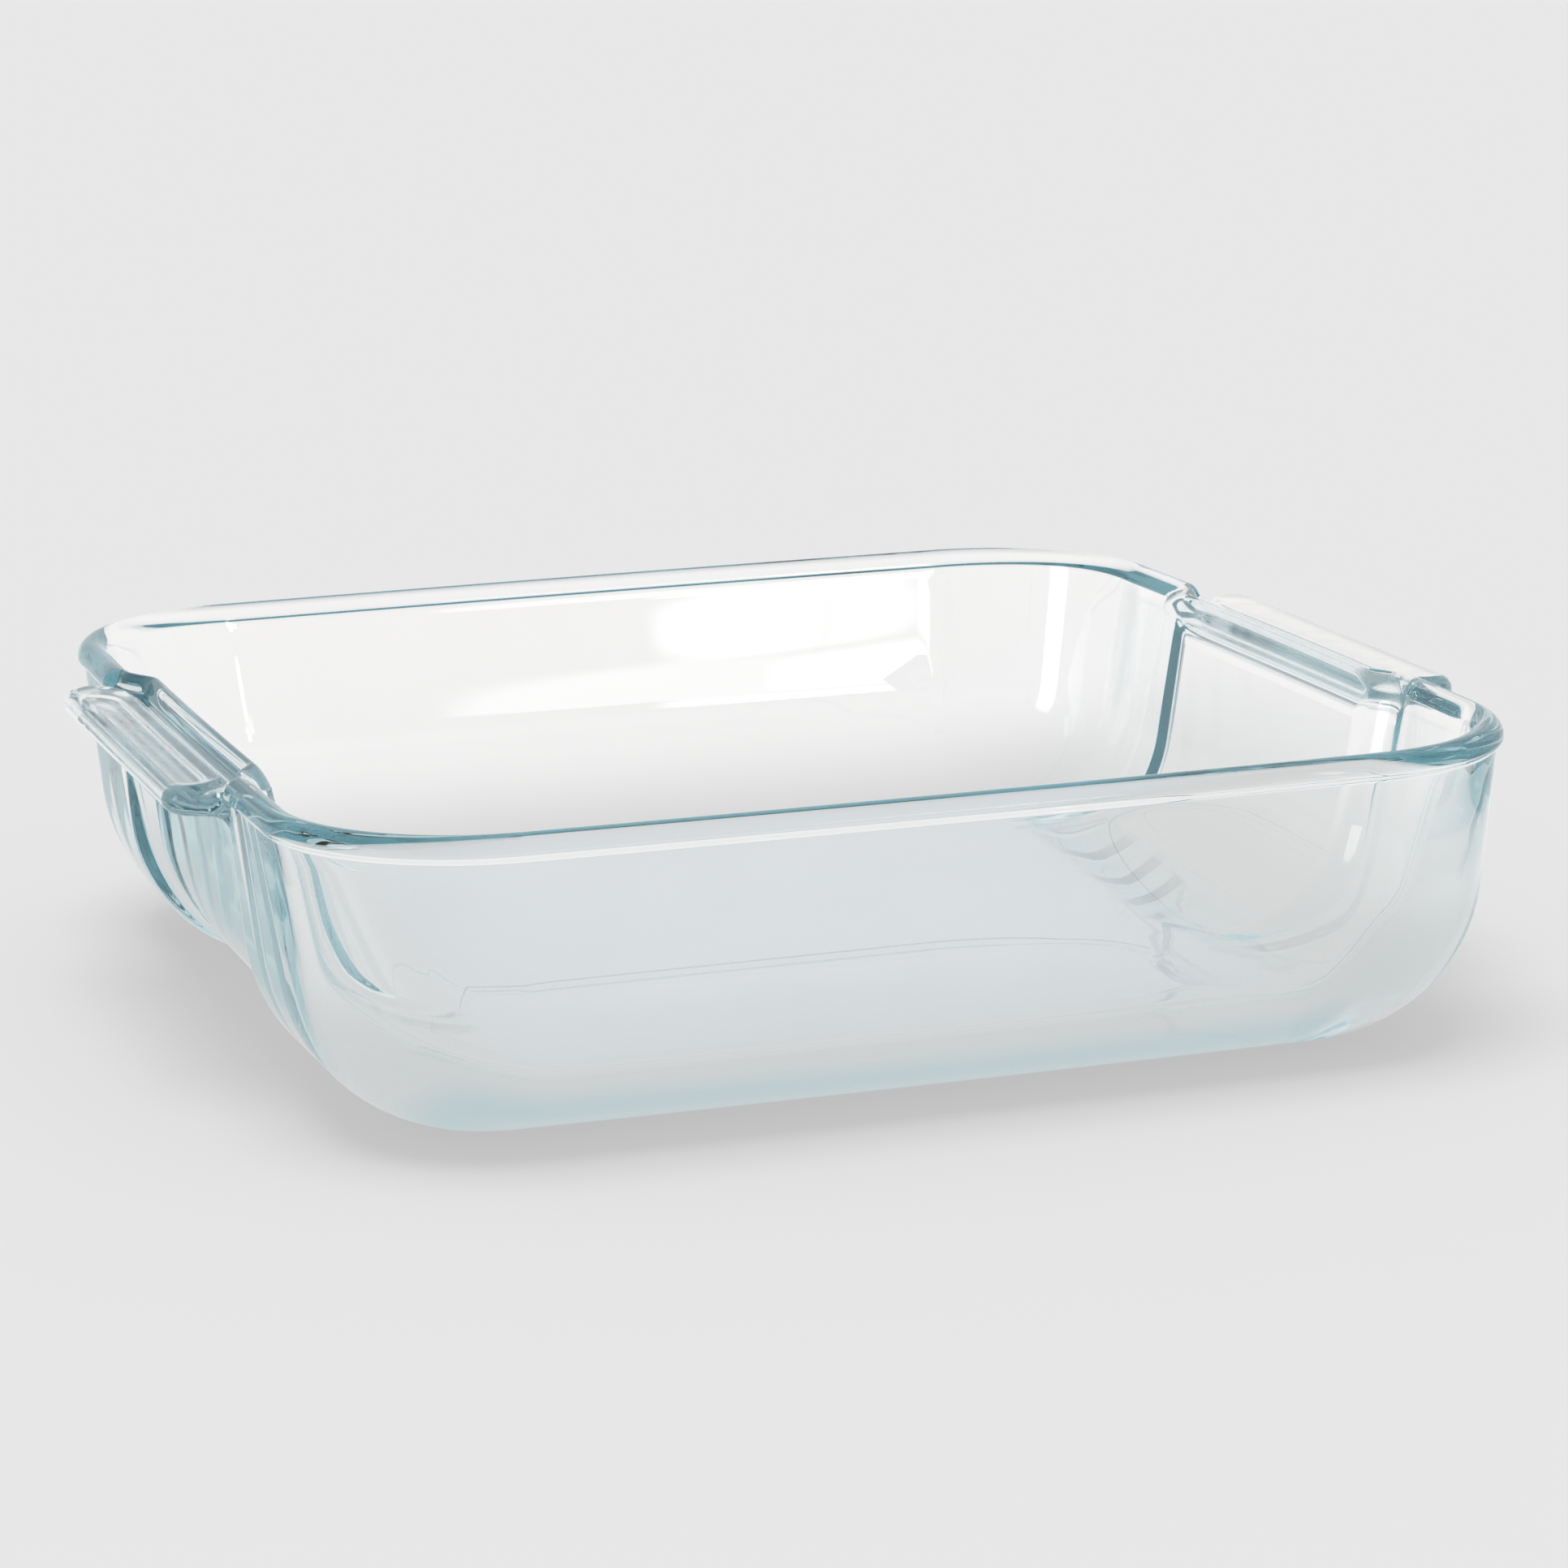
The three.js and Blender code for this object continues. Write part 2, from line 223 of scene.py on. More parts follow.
def flat(edge):
    """The flat inside a bottom round: its edge shrunk towards the middle of the dish."""
    shrink = steps(FLOOR_ROWS, 1).T[:, :-1, None]
    return edge * np.concatenate([shrink, shrink, np.ones_like(shrink)], axis=-1)


wall_middle = WIDEST_HEIGHT / 2
print(f"wall at half height: {(inner_inset(wall_middle) - outer_inset(wall_middle)) / MM:.1f} mm thick")

# %% [markdown]
# ## The handles
# A handle is a tab that grows out of the rim. A block could be joined on with a Boolean modifier, but
# that leaves a hard seam where the real glass flows, so here each section of the rim turns gradually
# into a section of the handle. The outline of a tab runs out along a slanted end, round a corner and
# along the outer edge, and each station on the panel is tied to a point of it. The top is a plateau
# with a low ridge round it. A channel runs between the crest of the rim and the ridge, and turns out at
# the end.

# %% Sizes of a handle
HANDLE_ROOT_LENGTH = 102 * MM
HANDLE_SLANT = math.radians(30)
HANDLE_CORNER = 6 * MM
HANDLE_BLEND = 3 * MM
EDGE_REACH = 2.5 * MM
CREST_WIDTH = 1.8 * MM
CHANNEL_DEPTH = 2.9 * MM
CHANNEL_PLACE = 2.4 * MM
RIDGE_PLACE = 5.6 * MM
RIDGE_DROP = 1.75 * MM
RIDGE_SLOPE = 1.4 * MM
PLATEAU_DROP = 1.9 * MM
PLATEAU_BORDER = 2.6 * MM
PLATEAU_CORNER = 5 * MM
TAB_BOTTOM_DROP = 6.9 * MM
ROOT_FILLET = 3.5 * MM
TAB_BOTTOM = RIM_HEIGHT - TAB_BOTTOM_DROP
ROOT_Y = -HANDLE_ROOT_LENGTH / 2
ROOT_X = side_reach(HALF_SPAN, ROOT_Y) - set_in(ROOT_Y, OUTER_JOG)
END_ALONG = np.array([math.cos(HANDLE_SLANT), math.sin(HANDLE_SLANT)])
END_NORMAL = np.array([END_ALONG[1], -END_ALONG[0]])
print(f"a tab stands out {(HANDLE_SPAN / 2 - ROOT_X) / MM:.1f} mm, {TAB_BOTTOM / MM:.1f} mm above the table")


# %% The outline of a tab
def tab_outline(fraction):
    """Points and outward normals at fractions of the length of half a tab, and how far along it they are:
    a line at HANDLE_SLANT from the root, an arc of HANDLE_CORNER, and a line along the outer edge to the
    middle."""
    centre_x = HANDLE_SPAN / 2 - HANDLE_CORNER
    end_length = (centre_x + HANDLE_CORNER * END_NORMAL[0] - ROOT_X) / END_ALONG[0]
    arc_start = np.array([ROOT_X, ROOT_Y]) + end_length * END_ALONG
    centre = arc_start - HANDLE_CORNER * END_NORMAL
    arc_length = HANDLE_CORNER * (math.pi / 2 - HANDLE_SLANT)
    length = end_length + arc_length - centre[1]
    run = fraction * length
    angle = HANDLE_SLANT - math.pi / 2 + np.clip((run - end_length) / HANDLE_CORNER, 0, None)
    angle = np.minimum(angle, 0)
    outward = np.stack([np.cos(angle), np.sin(angle)], axis=-1)
    on_end = arc_start + np.minimum(run - end_length, 0)[:, None] * END_ALONG
    past = np.maximum(run - end_length - arc_length, 0)
    point = centre + HANDLE_CORNER * outward
    point[:, 1] += past
    point = np.where((run < end_length)[:, None], on_end, point)
    return point, outward, run


tip = tab_outline(np.ones(1))[0][0]
print("middle of the outer edge of a tab in mm:", (tip / MM).round(1))


# %% How much of the tab has grown out of the rim at each station
station_y = np.full(STATIONS, -HALF_SPAN)
station_y[-PANEL_STEPS:] = -PANEL_REACH * (1 - steps(PANEL_STEPS, 1)[:, 0])
tab_fraction = 1 - station_y / ROOT_Y
on_tab = tab_fraction > 0
tab_edge, tab_outward, tab_run = tab_outline(np.clip(tab_fraction, 0, 1))
grown = np.where(on_tab, smoothstep(tab_run, 0, HANDLE_BLEND), 0)[:, None]
tab_neck = tab_edge - EDGE_REACH * tab_outward
print("stations on a tab:", int(on_tab.sum()))


# %% The top of a tab
def tab_drop(x, y):
    """How far the top of a tab lies below the rim. From the crest it falls into the channel, rises to the
    ridge and falls to the plateau. The ridge is a line along the crest and one along the end, with a
    round corner."""
    from_crest = x - side_reach(HALF_SPAN - RIM_WIDTH + CREST_WIDTH, y) + set_in(y, OUTER_JOG)
    from_end = (ROOT_X - x) * END_NORMAL[0] + (ROOT_Y - y) * END_NORMAL[1]
    past_ridge = np.stack([from_crest - RIDGE_PLACE, from_end - PLATEAU_BORDER])
    short = np.maximum(PLATEAU_CORNER - past_ridge, 0)
    beyond = np.maximum(past_ridge.min(axis=0) - PLATEAU_CORNER, 0)
    inside = PLATEAU_CORNER - np.hypot(*short) + beyond
    plateau = lerp(RIDGE_DROP, PLATEAU_DROP, smoothstep(inside, 0, 2 * RIDGE_SLOPE))
    fallen = lerp(CHANNEL_DEPTH, plateau, smoothstep(inside, -RIDGE_SLOPE, 0))
    return fallen * smoothstep(from_crest, 0, CHANNEL_PLACE)


edge_drop = tab_drop(tab_neck[-1:, 0], tab_neck[-1:, 1])[0]
print(f"the outer edge of a tab lies {edge_drop / MM:.2f} mm below the rim")


# %% The rim without a handle
def plain_rim():
    """The rim without a handle, from its crest: a quarter ellipse, the lip's arc and the hollow under it."""
    turn = steps(TOP_ROWS).T * (math.pi / 2)
    crown_inset = RIM_WIDTH / 2 * (1 - np.sin(turn))
    crown_height = WIDEST_HEIGHT + CROWN_HEIGHT * np.cos(turn)
    turn = steps(LIP_ROWS, 1).T * LIP_TURN
    lip_inset = LIP_RADIUS * (1 - np.cos(turn))
    lip_height = WIDEST_HEIGHT - LIP_RADIUS * np.sin(turn)
    turn = lerp(LIP_TURN, DRAFT, steps(LIP_ROWS, 1).T)
    fillet_inset = FILLET_INSET + LIP_FILLET * np.cos(turn)
    fillet_height = FILLET_HEIGHT + LIP_FILLET * np.sin(turn)
    inset = np.concatenate([crown_inset, lip_inset, fillet_inset], axis=1)
    height = np.concatenate([crown_height, lip_height, fillet_height], axis=1)
    return ring(inset, height)


print("points across the rim:", plain_rim().shape[1])


# %% The rim with a handle
def handle_rim():
    """The section through a handle with as many points: over the top from the crest to the tab's neck, half
    an ellipse round its edge, and a fillet under it that runs into the wall."""
    crest = ring(RIM_WIDTH - CREST_WIDTH, RIM_HEIGHT)
    neck = np.concatenate([tab_neck, np.full((STATIONS, 1), RIM_HEIGHT)], axis=1)[:, None, :]
    top = lerp(crest, neck, steps(TOP_ROWS)[None])
    top[..., 2] -= tab_drop(top[..., 0], top[..., 1])
    turn = steps(LIP_ROWS, 1).T * math.pi
    bulge = EDGE_REACH * np.sin(turn)[..., None] * tab_outward[:, None, :]
    depth = (top[:, -1:, 2] - TAB_BOTTOM) * (1 + np.cos(turn)) / 2
    edge = np.concatenate([neck[..., :2] + bulge, TAB_BOTTOM + depth[..., None]], axis=-1)
    foot = ring(outer_inset(TAB_BOTTOM - ROOT_FILLET), TAB_BOTTOM - ROOT_FILLET)
    reach = (neck - foot)[..., :2]
    distance = np.linalg.norm(reach, axis=-1, keepdims=True)
    radius = np.minimum(ROOT_FILLET, distance)
    turn = steps(LIP_ROWS, 1)[None] * (math.pi / 2)
    level = foot[..., :2] + reach / np.maximum(distance, MM) * radius * (1 - np.sin(turn))
    fall = np.broadcast_to(foot[..., 2:] + ROOT_FILLET * np.cos(turn), level[..., :1].shape)
    return np.concatenate([top, edge, np.concatenate([level, fall], axis=-1)], axis=1)


print("points across a handle:", handle_rim().shape[1])

# %% [markdown]
# ## The whole pressing
# The real dish is one skin of glass without a seam, so the mesh is one closed skin too. The stretches
# are set end to end, from the middle of the floor over the rim to the middle of the base. The quarter
# is mirrored twice as an array, which is simpler than a Mirror modifier here because the doubled
# stations are just left out. Then the grid is skinned with quads, and two fans close the middle of
# floor and base.


# %% Section by section round a quarter
def quarter_surface():
    """All the section points of all the stations of a quarter, in order from the floor to the base."""
    inside = inside_wall()
    outside = ring(*bottom_round(outer_inset, 0, BOTTOM_RADIUS, DRAFT))[:, ::-1]
    turn = steps(CROWN_ROWS).T[:, :-1] * (math.pi / 2)
    crest_width = lerp(RIM_WIDTH / 2, CREST_WIDTH, grown)
    crown = ring(
        RIM_WIDTH - crest_width * (1 - np.cos(turn)),
        WIDEST_HEIGHT + CROWN_HEIGHT * np.sin(turn),
        lerp(INNER_JOG, OUTER_JOG, np.sin(turn)),
        lerp(INSIDE_TIGHTENING, CORNER_TIGHTENING, np.sin(turn)),
    )
    rim = lerp(plain_rim(), handle_rim(), grown[:, :, None])
    outside_wall = lerp(rim[:, -1:], outside[:, :1], steps(WALL_ROWS, 1)[None, :-1])
    floor = flat(inside[:, :1])
    base = flat(outside[:, -1:])[:, ::-1]
    return np.concatenate([floor, inside, crown, rim, outside_wall, outside, base], axis=1)


def all_round(quarter):
    """The quarter, its mirror image in Y, and the mirror image in X of both, without doubled stations."""
    right = np.concatenate([quarter, (quarter * [1, -1, 1])[-2::-1]])
    return np.concatenate([right, (right * [-1, 1, 1])[-2:0:-1]])


surface = all_round(quarter_surface())
print("stations and section points:", surface.shape[:2])


# %% Skin the grid
def skin(name, grid, first_pole, last_pole):
    """A closed mesh over a grid that runs round in its first direction, with a fan to a pole at each end of
    its second one. A quad joins stations i and i + 1 at section points j and j + 1."""
    stations, rows = grid.shape[:2]
    here = np.arange(stations)[:, None] * rows + np.arange(rows - 1)
    beside = np.roll(here, -1, axis=0)
    quads = np.stack([here, here + 1, beside + 1, beside], axis=-1).reshape(-1, 4)
    start = np.arange(stations) * rows
    start_next = np.roll(start, -1)
    pole = stations * rows
    first_fan = np.stack([np.full(stations, pole), start, start_next], axis=-1)
    last_fan = np.stack([np.full(stations, pole + 1), start_next + rows - 1, start + rows - 1], axis=-1)
    points = np.concatenate([grid.reshape(-1, 3), [first_pole, last_pole]])
    mesh = bpy.data.meshes.new(name)
    mesh.from_pydata(points.tolist(), [], quads.tolist() + first_fan.tolist() + last_fan.tolist())
    mesh.shade_smooth()
    piece = bpy.data.objects.new(name, mesh)
    bpy.context.scene.collection.objects.link(piece)
    print(name, "has", 2 * len(quads) + 2 * stations, "triangles")
    return piece


dish = skin("pressed_glass_dish", surface, (0, 0, BASE_THICKNESS), (0, 0, 0))
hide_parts("glass_dish")
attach(dish, "root")

# %% [markdown]
# ## Node maths
# Materials are trees of nodes, and a formula soon takes a dozen of them. It reads best as Python. A
# Wire is one socket of a tree, and adding or multiplying wires adds the Math nodes. Any other node
# comes from one method that takes its type, its settings and its inputs.


# %% A socket that does sums
class Wire:
    """An output socket. Sums, differences, products and powers with it add a Math node each."""

    def __init__(self, tree, socket):
        self.tree = tree
        self.socket = socket

    def math(self, operation, first, second):
        """The wire of a Math node that does an operation on two values or wires."""
        return self.tree.node("ShaderNodeMath", [first, second], operation=operation)

    def __add__(self, other):
        return self.math("ADD", self, other)

    __radd__ = __add__

    def __sub__(self, other):
        return self.math("SUBTRACT", self, other)

    def __rsub__(self, other):
        return self.math("SUBTRACT", other, self)

    def __mul__(self, other):
        return self.math("MULTIPLY", self, other)

    __rmul__ = __mul__

    def __pow__(self, other):
        return self.math("POWER", self, other)


# %% A tree that makes nodes
class Tree:
    """The emptied node tree of a material, a lamp or the world."""

    def __init__(self, owner):
        owner.use_nodes = True
        self.nodes = owner.node_tree.nodes
        self.links = owner.node_tree.links
        self.nodes.clear()

    def node(self, kind, inputs=(), output=0, **settings):
        """Adds a node of a type, sets its settings first, then its input sockets by place or by name, and
        returns the wire of one of its outputs."""
        made = self.nodes.new(kind)
        for name, value in settings.items():
            setattr(made, name, value)
        pairs = inputs.items() if isinstance(inputs, dict) else enumerate(inputs)
        for key, value in pairs:
            if isinstance(value, Wire):
                self.links.new(value.socket, made.inputs[key])
            else:
                made.inputs[key].default_value = value
        return Wire(self, made.outputs[output]) if len(made.outputs) else None

    def ease(self, value, low, high, first, last):
        """A Map Range node that goes from first at low to last at high along 3t^2 - 2t^3."""
        inputs = [value, low, high, first, last]
        return self.node("ShaderNodeMapRange", inputs, interpolation_type="SMOOTHSTEP")

    def seen_in_glass(self):
        """1 for a ray that was last mirrored or bent by glass, and 0 for one that comes straight."""
        glossy = self.node("ShaderNodeLightPath", output="Is Glossy Ray")
        through = self.node("ShaderNodeLightPath", output="Is Transmission Ray")
        return self.node("ShaderNodeMath", [glossy, through], operation="MAXIMUM")


# %% [markdown]
# ## The glass
# Clear ovenware looks white where it is thin and blue-green where light runs a long way through it:
# along the rim, in the handle's ends and at the steps of the panels. Painting those places teal would
# be wrong from every other side. A smooth surface with an absorbing inside gives the lines by itself.
# Only the undersides of the tabs keep the dull, mottled skin of the mould, and a very faint cloudiness
# in the colour keeps the walls from looking like plastic.

# %% The skin of the mould under the tabs
MOULD_SKIN = 0.3  # its roughness where the mottle is full
SKIN_EDGE = 108 * MM  # it lies further out along X than this
SKIN_SLACK = 0.4 * MM  # and no further than this from the height of the underside
MOTTLE_SCALE = 220.0
MOTTLE_DETAIL = 2.0

glass = bpy.data.materials.new("clear_pressed_glass")
tree = Tree(glass)
place = tree.node("ShaderNodeTexCoord", output="Object")
out = tree.node("ShaderNodeSeparateXYZ", [place], output="X")
height = tree.node("ShaderNodeSeparateXYZ", [place], output="Z")
past_wall = tree.node("ShaderNodeMath", [out * out, SKIN_EDGE**2], operation="GREATER_THAN")
below_tab = tree.node("ShaderNodeMath", [height, TAB_BOTTOM, SKIN_SLACK], operation="COMPARE")
mottle = tree.node("ShaderNodeTexNoise", {"Vector": place, "Scale": MOTTLE_SCALE, "Detail": MOTTLE_DETAIL})
roughness = past_wall * below_tab * mottle * MOULD_SKIN
print("nodes of the mould's skin:", len(tree.nodes))

# %% Clear glass with a blue-green inside
GLASS_IOR = 1.49
TINT = (0.333, 0.667, 0.725, 1.0)
TINT_DENSITY = 8.5
CLOUD_SCALE = 45.0
CLOUD_DETAIL = 3.0
CLOUD_RANGE = (0.3, 0.7)  # the span of the noise that is used
CLOUD_TONES = (0.985, 1.0)

cloud = tree.node("ShaderNodeTexNoise", {"Vector": place, "Scale": CLOUD_SCALE, "Detail": CLOUD_DETAIL})
clear = tree.node(
    "ShaderNodeBsdfPrincipled",
    {
        "Base Color": tree.node("ShaderNodeMapRange", [cloud, *CLOUD_RANGE, *CLOUD_TONES]),
        "Transmission Weight": 1.0,
        "IOR": GLASS_IOR,
        "Roughness": roughness,
    },
)
inside = tree.node("ShaderNodeVolumeAbsorption", {"Color": TINT, "Density": TINT_DENSITY})
tree.node("ShaderNodeOutputMaterial", {"Surface": clear, "Volume": inside})
dish.data.materials.append(glass)
print("glass nodes:", len(tree.nodes))

# %% [markdown]
# ## The table
# The dish stands on a pale grey sheet that runs out past the picture on every side. A plain white sheet
# would do for most objects. Glass shows the sheet over and over, through its walls and mirrored inside
# them, and thin walls have to look almost white there. So Light Path gives the paper two looks:
# straight on it is grey with a soft shadow, and in the glass it is a painted glow, with painted shade
# under the dish and brighter beside it.

# %% The sheet
TABLE_HALF = 12.0
TABLE_GAP = 0.2 * MM  # keeps the sheet just clear of the base

table_mesh = bpy.data.meshes.new("paper_table")
corners = [(-1, -1, 0), (1, -1, 0), (1, 1, 0), (-1, 1, 0)]
table_mesh.from_pydata([tuple(TABLE_HALF * c for c in corner) for corner in corners], [], [(0, 1, 2, 3)])
table = bpy.data.objects.new("paper_table", table_mesh)
bpy.context.scene.collection.objects.link(table)
table.location.z = -TABLE_GAP
print(f"table {2 * TABLE_HALF:.0f} m square")

# %% The sheet as the glass shows it
# What the glass sees here is painted light, not a lit sheet: the sheet gives out light of its own. Painted
# shade under the dish is darkest near its edge, and the glow is brighter beside the dish.
SQUARENESS = 16  # the power that makes lines of equal distance out into squares with round corners
PAINTED_SHADE_MIDDLE = 0.71
PAINTED_SHADE_EDGE = 0.67
MIDDLE_PLACE = 30 * MM
EDGE_PLACE = 90 * MM
GLOW = 0.93
GLOW_PLACE = 195 * MM
WARM = (1.024, 1.0, 0.993, 1.0)  # makes up for the tint of the walls
# COOL paints the faint blue of the base into the glow of the sheet under it.
COOL = (0.98, 1.0, 1.025, 1.0)  # the faint blue of the base
BASE_EDGE = (70 * MM, 78 * MM)

paper = bpy.data.materials.new("pale_paper")
tree = Tree(paper)
place = tree.node("ShaderNodeTexCoord", output="Object")
across = tree.node("ShaderNodeSeparateXYZ", [place], output="X") ** SQUARENESS
along = tree.node("ShaderNodeSeparateXYZ", [place], output="Y") ** SQUARENESS
out = (across + along) ** (1 / SQUARENESS)
under = tree.ease(out, MIDDLE_PLACE, EDGE_PLACE, PAINTED_SHADE_MIDDLE, PAINTED_SHADE_EDGE)
beside = tree.ease(out, EDGE_PLACE, GLOW_PLACE, 0.0, GLOW - PAINTED_SHADE_EDGE)
on_base = tree.node("ShaderNodeMapRange", [out, *BASE_EDGE, 1.0, 0.0])
tone = tree.node("ShaderNodeMix", {0: on_base, 6: WARM, 7: COOL}, output=2, data_type="RGBA")
shade = tree.node("ShaderNodeVectorMath", {0: tone, "Scale": under + beside}, operation="SCALE")
print("nodes of the glow:", len(tree.nodes))

# %% Painted shade at the foot of the walls
# A dark teal ring of painted shade lies on the sheet round the foot, and the glass shows it as the teal line
# along its bottom edge. Only rays that were mirrored in the glass see this ring, so the base stays clear
# from above.
PAINTED_FOOT_SHADE = (0.52, 0.62, 0.64, 1.0)
RING_PLACE = 81 * MM
RING_WIDTH = 10 * MM
MIRRORED_FROM = 0.5  # of a bounce, so that one is enough

from_ring = tree.node("ShaderNodeMath", [out - RING_PLACE], operation="ABSOLUTE")
near_ring = tree.ease(from_ring, 0.0, RING_WIDTH, 1.0, 0.0)
bounced = tree.node("ShaderNodeLightPath", output="Glossy Depth")
mirrored = tree.node("ShaderNodeMath", [bounced, MIRRORED_FROM], operation="GREATER_THAN")
glow_with_foot_shade = tree.node(
    "ShaderNodeMix",
    {0: near_ring * mirrored, 6: shade, 7: PAINTED_FOOT_SHADE},
    output=2,
    data_type="RGBA",
    clamp_result=False,
)
print("nodes of the glow with its ring:", len(tree.nodes))

# %% The paper
PAPER = (0.785, 0.785, 0.785, 1.0)
SHADOW_DEPTH = 0.34  # the share of the paper's look that shadows can darken

# The painted glow with its painted shade, for rays seen in the glass.
glow = tree.node("ShaderNodeEmission", {"Color": glow_with_foot_shade, "Strength": 1.0})
lit = tree.node("ShaderNodeEmission", {"Color": PAPER, "Strength": 1.0})
sheet = tree.node("ShaderNodeBsdfDiffuse", {"Color": PAPER})
soft = tree.node("ShaderNodeMixShader", [SHADOW_DEPTH, lit, sheet])
seen = tree.node("ShaderNodeMixShader", [tree.seen_in_glass(), soft, glow])
tree.node("ShaderNodeOutputMaterial", {"Surface": seen})
table_mesh.materials.append(paper)
print("paper nodes:", len(tree.nodes))

# %% [markdown]
# ## The light
# Soft light comes from all round, as in a light tent, and glass shows the tent brighter than it lights
# the table. A broad lamp overhead casts the soft shadow. Bright patches on the walls are mirror images
# of lamps. A picture of a room could give them, but a few small lamps that only mirrors see can be put
# exactly where the walls need them, and they leave the light on the table alone.

# %% Soft light from all round
ROOM_LIGHT = (0.4, 0.5)  # at the horizon and overhead
TENT_LIGHT = (0.88, 0.95)  # the same as the glass shows it
BEHIND_CAMERA = 0.7  # the share of it that is left there
DIM_SPAN = (-0.9, -0.3)  # the Y of the directions in which the dimming is full and in which it starts

world = bpy.data.worlds.new("light_tent")
bpy.context.scene.world = world
tree = Tree(world)
direction = tree.node("ShaderNodeTexCoord", output="Generated")
height = tree.node("ShaderNodeSeparateXYZ", [direction], output="Z")
depth = tree.node("ShaderNodeSeparateXYZ", [direction], output="Y")
room = tree.node("ShaderNodeMapRange", [height, 0.0, 1.0, *ROOM_LIGHT])
sky = tree.node("ShaderNodeMapRange", [height, 0.0, 1.0, *TENT_LIGHT])
dim = tree.node("ShaderNodeMapRange", [depth, *DIM_SPAN, BEHIND_CAMERA, 1.0])
bright = tree.node("ShaderNodeVectorMath", {0: WARM[:3], "Scale": sky * dim}, operation="SCALE")
plain = tree.node("ShaderNodeBackground", {"Color": room, "Strength": 1.0})
shown = tree.node("ShaderNodeBackground", {"Color": bright, "Strength": 1.0})
tent = tree.node("ShaderNodeMixShader", [tree.seen_in_glass(), plain, shown])
tree.node("ShaderNodeOutputWorld", {"Surface": tent})
print("tent nodes:", len(tree.nodes))

# %% The lamp overhead
OVERHEAD_STRENGTH = 1.94
OVERHEAD_SPREAD = 0.6  # the angle that it fills, in radians, which softens the shadow
OVERHEAD_TURN = (0.1, -0.14, 0)

overhead_lamp = bpy.data.lights.new("overhead_light", "SUN")
overhead_lamp.energy = OVERHEAD_STRENGTH
overhead_lamp.angle = OVERHEAD_SPREAD
overhead = bpy.data.objects.new("overhead_light", overhead_lamp)
overhead.rotation_euler = OVERHEAD_TURN
overhead.visible_camera = overhead.visible_transmission = overhead.visible_glossy = False
bpy.context.scene.collection.objects.link(overhead)
print("lamp overhead:", overhead.name)

# %% Lamps that only mirrors see
FULL_LIGHT = 0.02  # the value of u (1 - u) v (1 - v) from which a lamp has its full radiance


def softbox(name, place, aim, width, height, radiance):
    """A rectangular lamp at a place, turned to its aim, that only shows in mirrors and fades towards its
    edges. A lamp of even radiance L and area A gives out a power of pi L A."""
    lamp = bpy.data.lights.new(name, "AREA")
    lamp.shape = "RECTANGLE"
    lamp.size, lamp.size_y = width, height
    lamp.energy = math.pi * radiance * width * height
    tree = Tree(lamp)
    spot = tree.node("ShaderNodeNewGeometry", output="Parametric")
    across = tree.node("ShaderNodeSeparateXYZ", [spot], output="X")
    along = tree.node("ShaderNodeSeparateXYZ", [spot], output="Y")
    fade = tree.ease(across * (1 - across) * along * (1 - along), 0.0, FULL_LIGHT, 0.0, 1.0)
    light = tree.node("ShaderNodeEmission", {"Color": fade, "Strength": 1.0})
    tree.node("ShaderNodeOutputLight", {"Surface": light})
    box = bpy.data.objects.new(name, lamp)
    box.location = place
    box.rotation_euler = (Vector(aim) - Vector(place)).to_track_quat("-Z", "Y").to_euler()
    box.visible_camera = box.visible_transmission = box.visible_diffuse = False
    bpy.context.scene.collection.objects.link(box)
    return box


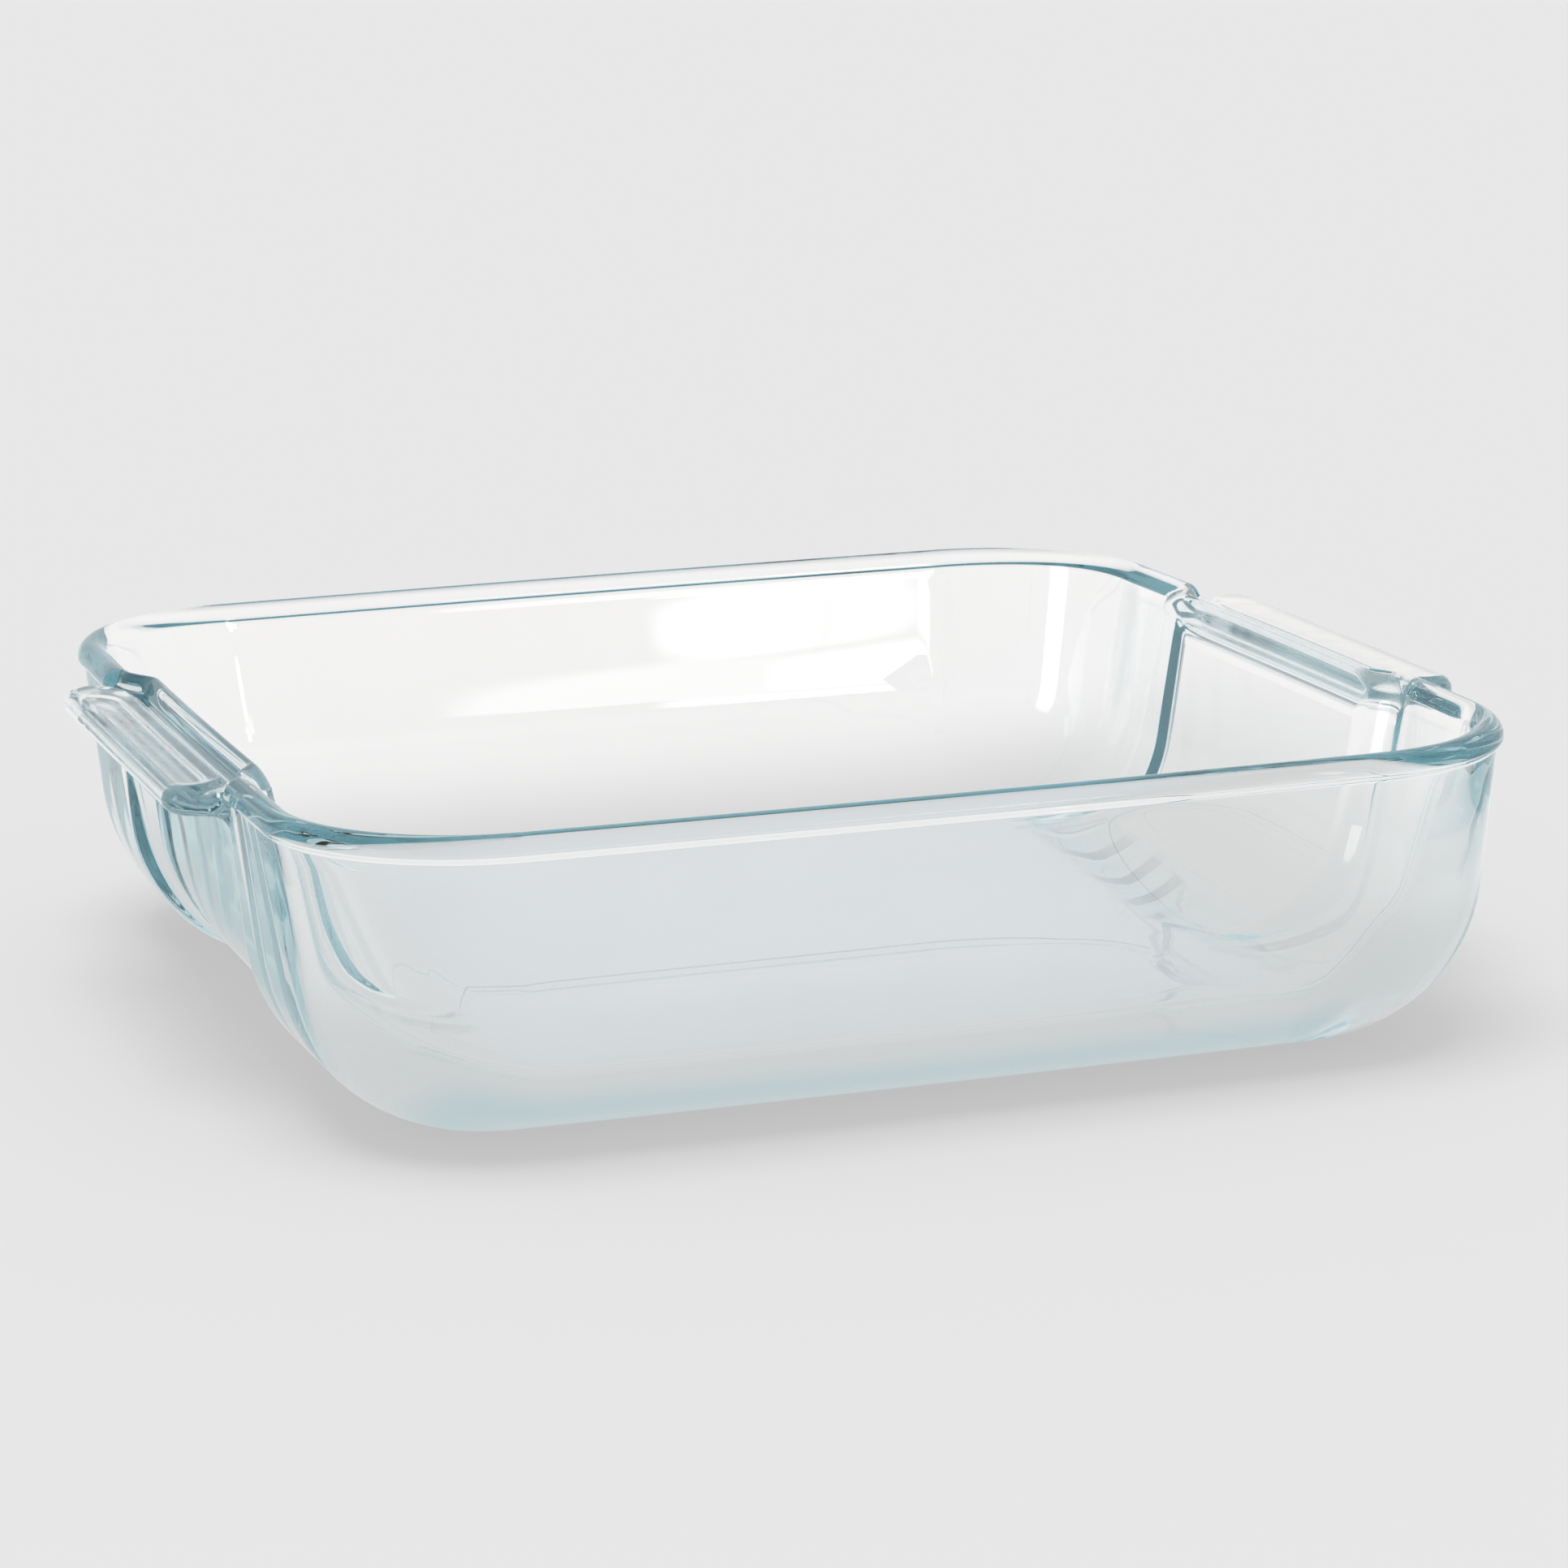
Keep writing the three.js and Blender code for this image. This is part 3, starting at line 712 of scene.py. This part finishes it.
# %% The bright patches
BACK_WALL = (0, 0.1, 0.03)
DISH_MIDDLE = (0, 0, 0.03)
patches = [
    softbox("front_patch", (0.585, -1.50, 0.32), BACK_WALL, width=0.10, height=0.085, radiance=4.5),
    softbox("front_patch_left", (0.49, -1.50, 0.32), BACK_WALL, width=0.15, height=0.08, radiance=2.4),
    softbox("front_patch_high", (0.545, -1.50, 0.378), BACK_WALL, width=0.10, height=0.04, radiance=3.0),
    softbox("left_window", (-1.30, -0.12, 0.42), DISH_MIDDLE, width=0.4, height=0.75, radiance=3.0),
]
print("lamps for the patches:", [patch.name for patch in patches])

# %% Enough bounces for thick glass
# Light runs a long way in the rim and the handles, and too few bounces turn them black. Caustics would
# only add noise.
BOUNCES = 40

cycles = bpy.context.scene.cycles
cycles.max_bounces = cycles.glossy_bounces = cycles.transmission_bounces = BOUNCES
cycles.caustics_refractive = cycles.caustics_reflective = False
print("bounces:", cycles.max_bounces)

# %% [markdown]
# ## The camera
# A long lens looks down on the near left corner. Its place could be typed in as coordinates, but a
# turn, a tilt and a distance from a point inside the dish say better what the picture shows. It is
# rolled a little, as the picture is.

# %% Camera
CAMERA_TURN = math.radians(-18.73)
CAMERA_TILT = math.radians(12.639)
CAMERA_ROLL = math.radians(-0.958)
CAMERA_DISTANCE = 911.63 * MM
CAMERA_SIDEWAYS = 4.995 * MM
CAMERA_RAISED = 10.627 * MM
AIM_HEIGHT = 25 * MM
LENS = 113.48

back = Vector(
    (
        math.sin(CAMERA_TURN) * math.cos(CAMERA_TILT),
        -math.cos(CAMERA_TURN) * math.cos(CAMERA_TILT),
        math.sin(CAMERA_TILT),
    )
)
right = Vector((math.cos(CAMERA_TURN), math.sin(CAMERA_TURN), 0))
up = back.cross(right)
aim = right * CAMERA_SIDEWAYS + up * CAMERA_RAISED + Vector((0, 0, AIM_HEIGHT))
rolled_right = right * math.cos(CAMERA_ROLL) + up * math.sin(CAMERA_ROLL)
rolled_up = up * math.cos(CAMERA_ROLL) - right * math.sin(CAMERA_ROLL)
camera_data = bpy.data.cameras.new("camera")
camera_data.lens = LENS
camera = bpy.data.objects.new("camera", camera_data)
camera.matrix_world = Matrix((rolled_right, rolled_up, back)).transposed().to_4x4()
camera.location = aim + back * CAMERA_DISTANCE
bpy.context.scene.collection.objects.link(camera)
bpy.context.scene.camera = camera
bpy.context.scene.view_settings.view_transform = "Standard"
print("camera at", [round(v, 3) for v in camera.location])
